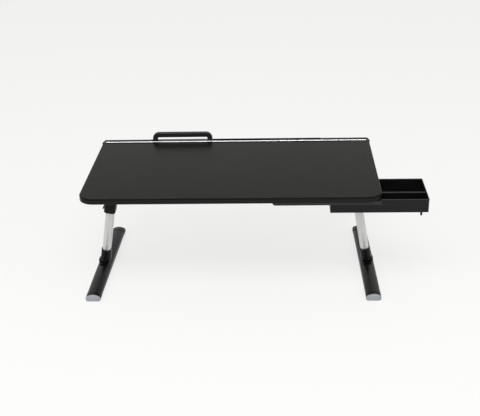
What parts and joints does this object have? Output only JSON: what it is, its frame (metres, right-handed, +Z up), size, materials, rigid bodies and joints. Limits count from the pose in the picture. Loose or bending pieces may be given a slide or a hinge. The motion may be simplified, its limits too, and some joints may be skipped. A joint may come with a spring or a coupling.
{
  "type": "folding laptop table with drawer",
  "caption": "Folding laptop table for bed or sofa: wide flat top with pull-up stoppers at the far edge, side-opening drawer, and tilting telescopic legs on long feet.",
  "frame": {"origin": "on the floor, under the middle of the box from the left foot to the open drawer's end", "axes": "+X to the user's right, towards the open drawer; +Y away from the user, towards the stoppers; +Z up"},
  "size_m": [0.6987, 0.3421, 0.2595],
  "materials": {
    "laminate_board": "black laminate over fibreboard, low sheen",
    "strip_aluminium": "brushed and clear anodised",
    "trim_plastic": "moulded, fine grain",
    "drawer_plastic": "moulded, fine grain",
    "structural_plastic": "glass-filled, moulded, fine grain",
    "grey_plastic": "moulded, smooth",
    "tube_aluminium": "satin anodised",
    "black_aluminium": "black powder coat, satin",
    "plated_steel": "zinc plated",
    "black_rubber": "soft, matt"
  },
  "bodies": {
    "tabletop": {"tabletop_board": "laminate_board", "edge_strip": "strip_aluminium", "edge_strip_end_left": "trim_plastic", "edge_strip_end_right": "trim_plastic", "stopper_well": "trim_plastic", "stopper_well_screws": "plated_steel", "drawer_rail_front": "trim_plastic", "drawer_rail_back": "trim_plastic", "drawer_rail_screws": "plated_steel", "fold_bracket_left": "structural_plastic", "bracket_screws_left": "plated_steel", "fold_pin_left": "plated_steel", "fold_bracket_right": "structural_plastic", "bracket_screws_right": "plated_steel", "fold_pin_right": "plated_steel"},
    "drawer": {"drawer_tray": "drawer_plastic", "drawer_pull_peg": "trim_plastic"},
    "left_stopper": {"stopper_left": "trim_plastic"},
    "right_stopper": {"stopper_right": "trim_plastic"},
    "left_knuckle": {"fold_knuckle_left": "structural_plastic", "tilt_axle_left": "plated_steel", "button_spring_left": "plated_steel"},
    "left_button": {"tilt_button_left": "structural_plastic"},
    "left_inner_leg": {"tilt_head_left": "structural_plastic", "inner_tube_left": "tube_aluminium", "tube_rivet_left": "plated_steel"},
    "left_outer_leg": {"clamp_collar_left": "structural_plastic", "lever_pin_left": "plated_steel", "brake_pad_left": "black_rubber", "outer_tube_left": "tube_aluminium", "foot_socket_left": "structural_plastic", "foot_beam_left": "black_aluminium", "foot_screws_left": "plated_steel", "foot_collar_front_left": "structural_plastic", "foot_collar_rear_left": "structural_plastic", "foot_cap_front_left": "grey_plastic", "foot_cap_rear_left": "grey_plastic", "foot_pads_left": "black_rubber"},
    "left_lever": {"clamp_lever_left": "structural_plastic"},
    "right_knuckle": {"fold_knuckle_right": "structural_plastic", "tilt_axle_right": "plated_steel", "button_spring_right": "plated_steel"},
    "right_button": {"tilt_button_right": "structural_plastic"},
    "right_inner_leg": {"tilt_head_right": "structural_plastic", "inner_tube_right": "tube_aluminium", "tube_rivet_right": "plated_steel"},
    "right_outer_leg": {"clamp_collar_right": "structural_plastic", "lever_pin_right": "plated_steel", "brake_pad_right": "black_rubber", "outer_tube_right": "tube_aluminium", "foot_socket_right": "structural_plastic", "foot_beam_right": "black_aluminium", "foot_screws_right": "plated_steel", "foot_collar_front_right": "structural_plastic", "foot_collar_rear_right": "structural_plastic", "foot_cap_front_right": "grey_plastic", "foot_cap_rear_right": "grey_plastic", "foot_pads_right": "black_rubber"},
    "right_lever": {"clamp_lever_right": "structural_plastic"}
  },
  "joints": [
    {"name": "drawer_slide", "type": "slide", "parent": "tabletop", "child": "drawer", "axis": [1, 0, 0], "range_m": [-0.0922, 0.0278]},
    {"name": "left_stopper_lift", "type": "slide", "parent": "tabletop", "child": "left_stopper", "axis": [0, 0, 1], "range_m": [-0.0215, 0]},
    {"name": "right_stopper_lift", "type": "slide", "parent": "tabletop", "child": "right_stopper", "axis": [0, 0, 1], "range_m": [0, 0.0215]},
    {"name": "left_fold", "type": "hinge", "parent": "tabletop", "child": "left_knuckle", "pos_m": [-0.29852, -0.00506, 0.211], "axis": [0, 1, 0], "range_deg": [-93, 0]},
    {"name": "left_tilt", "type": "hinge", "parent": "left_knuckle", "child": "left_inner_leg", "pos_m": [-0.30249, -0.00506, 0.18733], "axis": [-1, 0, 0], "range_deg": [0, 36]},
    {"name": "left_height", "type": "slide", "parent": "left_inner_leg", "child": "left_outer_leg", "axis": [-0.165, 0, -0.9863], "range_m": [0, 0.08]},
    {"name": "left_lever_flip", "type": "hinge", "parent": "left_outer_leg", "child": "left_lever", "pos_m": [-0.31806, -0.00506, 0.1585], "axis": [0, 1, 0], "range_deg": [0, 85]},
    {"name": "left_button_press", "type": "slide", "parent": "left_knuckle", "child": "left_button", "axis": [1, 0, 0], "range_m": [0, 0.0025], "stiffness_N_per_m": 600, "springref_m": -0.003, "deforming": ["button_spring_left"]},
    {"name": "right_fold", "type": "hinge", "parent": "tabletop", "child": "right_knuckle", "pos_m": [0.21288, -0.00506, 0.211], "axis": [0, -1, 0], "range_deg": [-93, 0]},
    {"name": "right_tilt", "type": "hinge", "parent": "right_knuckle", "child": "right_inner_leg", "pos_m": [0.21684, -0.00506, 0.18733], "axis": [-1, 0, 0], "range_deg": [0, 36]},
    {"name": "right_height", "type": "slide", "parent": "right_inner_leg", "child": "right_outer_leg", "axis": [0.165, 0, -0.9863], "range_m": [0, 0.08]},
    {"name": "right_lever_flip", "type": "hinge", "parent": "right_outer_leg", "child": "right_lever", "pos_m": [0.23241, -0.00506, 0.1585], "axis": [0, -1, 0], "range_deg": [0, 85]},
    {"name": "right_button_press", "type": "slide", "parent": "right_knuckle", "child": "right_button", "axis": [-1, 0, 0], "range_m": [0, 0.0025], "stiffness_N_per_m": 600, "springref_m": -0.003, "deforming": ["button_spring_right"]}
  ],
  "couplings": [
    {"joint": "right_tilt", "follows": "left_tilt", "ratio": 1}
  ]
}
